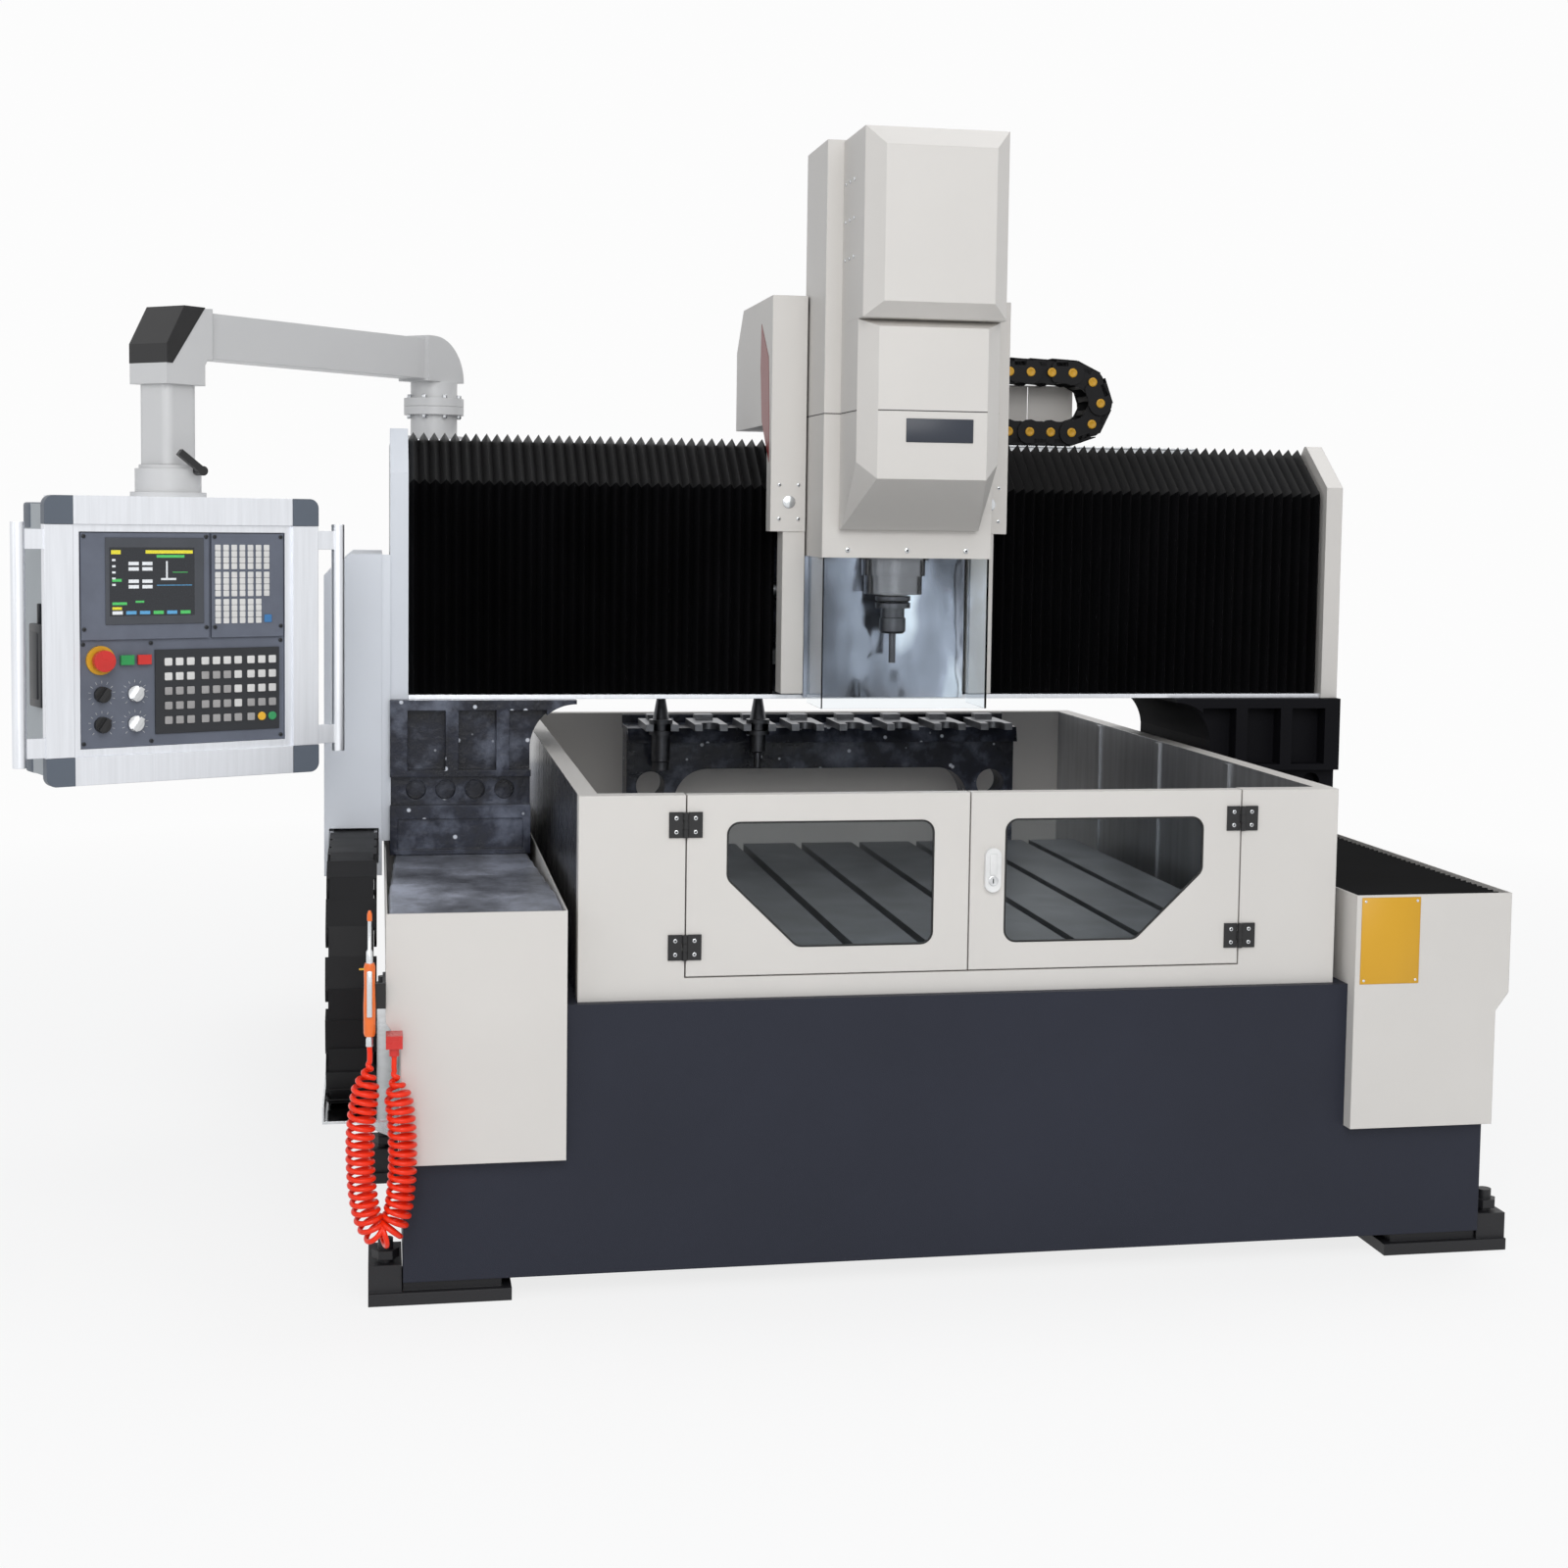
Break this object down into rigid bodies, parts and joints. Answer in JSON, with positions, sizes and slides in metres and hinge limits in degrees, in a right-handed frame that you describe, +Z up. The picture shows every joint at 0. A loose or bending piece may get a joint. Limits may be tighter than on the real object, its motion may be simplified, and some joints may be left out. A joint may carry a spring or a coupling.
{
  "type": "cnc machining center",
  "caption": "Moving-gantry milling machine: fixed T-slot table in a splash guard with glazed doors, head on a bellows-covered beam, in-line tool rack and swinging control pendant.",
  "frame": {"origin": "middle of the four corner anchor holes, at floor level", "axes": "+X to the operator's right, +Y from the door side to the back, +Z up"},
  "size_m": [3.1359, 2.9605, 2.424],
  "materials": {
    "bed_paint": "painted casting, satin",
    "table_iron": "ground iron",
    "black_iron": "black, matt",
    "rail_steel": "ground steel",
    "ivory_paint": "powder coat, fine grain",
    "casting_paint": "gloss paint on a casting",
    "bright_steel": "stainless sheet",
    "cover_steel": "steel sheet, mottled",
    "bellows_cloth": "coated cloth, black",
    "tool_steel": "hardened steel",
    "chain_plastic": "black polyamide",
    "black_plastic": "black, satin",
    "orange_plastic": "orange, gloss",
    "hose_plastic": "orange-red, gloss",
    "aluminium_bar": "anodised",
    "white_paint": "white coat",
    "spindle_steel": "ground and polished",
    "clear_sheet": "clear plastic sheet",
    "window_sheet": "clear plastic window",
    "white_plastic": "white, gloss",
    "case_paint": "slate paint",
    "panel_plastic": "grey foil panel",
    "red_plastic": "red, gloss",
    "green_plastic": "green, gloss",
    "silver_plastic": "silver"
  },
  "bodies": {
    "bed": {"bed_casting": "bed_paint", "worktable": "table_iron", "levelling_feet": "black_iron", "y_axis_drive": "rail_steel", "guard_walls": "ivory_paint", "guard_front": "ivory_paint", "hinge_leaves": "black_plastic", "left_rail_cover": "ivory_paint", "right_rail_cover": "ivory_paint", "left_way_cover": "cover_steel", "right_way_cover": "bellows_cloth", "magazine_stand": "casting_paint", "magazine_tray": "casting_paint", "tool_forks": "bright_steel", "stored_tools": "tool_steel", "chain_tray": "bright_steel", "y_cable_chain": "chain_plastic", "air_fittings": "black_plastic", "air_gun": "orange_plastic", "air_hose": "hose_plastic"},
    "gantry": {"left_column": "casting_paint", "right_column": "casting_paint", "crossbeam": "casting_paint", "y_carriages": "rail_steel", "x_axis_drive": "rail_steel", "bellows_rail": "aluminium_bar", "x_bellows_left": "bellows_cloth", "x_bellows_right": "bellows_cloth", "gantry_covers": "ivory_paint", "x_cable_chain": "chain_plastic", "arm_post": "white_paint"},
    "head": {"x_saddle": "bed_paint", "saddle_covers": "ivory_paint", "z_axis_drive": "rail_steel"},
    "ram": {"z_slide": "bed_paint", "ram_cover": "ivory_paint", "head_cover_upper": "ivory_paint", "head_cover_lower": "ivory_paint", "spindle_unit": "spindle_steel", "spindle_curtain": "clear_sheet", "splash_plate": "bright_steel"},
    "spindle": {"spindle_shaft": "spindle_steel", "tool_holder": "tool_steel"},
    "left_door": {"door_left": "ivory_paint", "window_left": "window_sheet"},
    "right_door": {"door_right": "ivory_paint", "window_right": "window_sheet"},
    "latch": {"door_latch": "white_plastic"},
    "arm": {"pendant_arm": "white_paint"},
    "pendant": {"pendant_case": "case_paint", "pendant_frame": "aluminium_bar", "operator_panel": "panel_plastic"},
    "stop_head": {"e_stop": "red_plastic"},
    "start_key": {"start_button": "green_plastic"},
    "stop_key": {"stop_button": "red_plastic"},
    "feed_dial": {"feed_knob": "black_plastic"},
    "speed_dial": {"spindle_knob": "black_plastic"},
    "mode_dial": {"mode_knob": "silver_plastic"},
    "axis_dial": {"axis_knob": "silver_plastic"},
    "lever": {"clamp_lever": "black_plastic"}
  },
  "joints": [
    {"name": "gantry_y", "type": "slide", "parent": "bed", "child": "gantry", "axis": [0, 1, 0], "range_m": [-0.53, 0.57], "deforming": ["left_way_cover", "right_way_cover", "y_cable_chain"]},
    {"name": "head_x", "type": "slide", "parent": "gantry", "child": "head", "axis": [1, 0, 0], "range_m": [-0.535, 0.535], "deforming": ["x_bellows_left", "x_bellows_right", "x_cable_chain"]},
    {"name": "ram_z", "type": "slide", "parent": "head", "child": "ram", "axis": [0, 0, 1], "range_m": [-0.4, 0.1]},
    {"name": "spindle_spin", "type": "hinge", "parent": "ram", "child": "spindle", "pos_m": [0, -0.55, 1.39], "axis": [0, 0, 1], "continuous": true},
    {"name": "left_door_hinge", "type": "hinge", "parent": "bed", "child": "left_door", "pos_m": [-0.591, -1.286, 0.596], "axis": [0, 0, -1], "range_deg": [0, 110]},
    {"name": "right_door_hinge", "type": "hinge", "parent": "bed", "child": "right_door", "pos_m": [0.591, -1.286, 0.596], "axis": [0, 0, 1], "range_deg": [0, 110]},
    {"name": "latch_turn", "type": "hinge", "parent": "right_door", "child": "latch", "pos_m": [0.0475, -1.28, 0.8515], "axis": [0, -1, 0], "range_deg": [0, 90]},
    {"name": "arm_swing", "type": "hinge", "parent": "gantry", "child": "arm", "pos_m": [-1.066, -0.18, 1.826], "axis": [0, 0, 1], "range_deg": [-45, 35]},
    {"name": "pendant_turn", "type": "hinge", "parent": "arm", "child": "pendant", "pos_m": [-1.63387, -0.82186, 1.663], "axis": [0, 0, 1], "range_deg": [-60, 60]},
    {"name": "stop_head_push", "type": "slide", "parent": "pendant", "child": "stop_head", "axis": [-0.4384, 0.8988, 0], "range_m": [0, 0.005], "stiffness_N_per_m": 3000},
    {"name": "start_push", "type": "slide", "parent": "pendant", "child": "start_key", "axis": [-0.4384, 0.8988, 0], "range_m": [0, 0.003], "stiffness_N_per_m": 1500},
    {"name": "stop_push", "type": "slide", "parent": "pendant", "child": "stop_key", "axis": [-0.4384, 0.8988, 0], "range_m": [0, 0.003], "stiffness_N_per_m": 1500},
    {"name": "lever_turn", "type": "hinge", "parent": "pendant", "child": "lever", "pos_m": [-1.56811, -0.86544, 1.651], "axis": [-0.4384, 0.8988, 0], "range_deg": [-40, 60]},
    {"name": "feed_turn", "type": "hinge", "parent": "pendant", "child": "feed_dial", "pos_m": [-1.75412, -0.97452, 1.191], "axis": [-0.4384, 0.8988, 0], "range_deg": [-135, 135]},
    {"name": "speed_turn", "type": "hinge", "parent": "pendant", "child": "speed_dial", "pos_m": [-1.75412, -0.97452, 1.129], "axis": [-0.4384, 0.8988, 0], "range_deg": [-135, 135]},
    {"name": "mode_turn", "type": "hinge", "parent": "pendant", "child": "mode_dial", "pos_m": [-1.6921, -0.94427, 1.191], "axis": [-0.4384, 0.8988, 0], "range_deg": [-135, 135]},
    {"name": "axis_turn", "type": "hinge", "parent": "pendant", "child": "axis_dial", "pos_m": [-1.6921, -0.94427, 1.129], "axis": [-0.4384, 0.8988, 0], "range_deg": [-135, 135]}
  ]
}
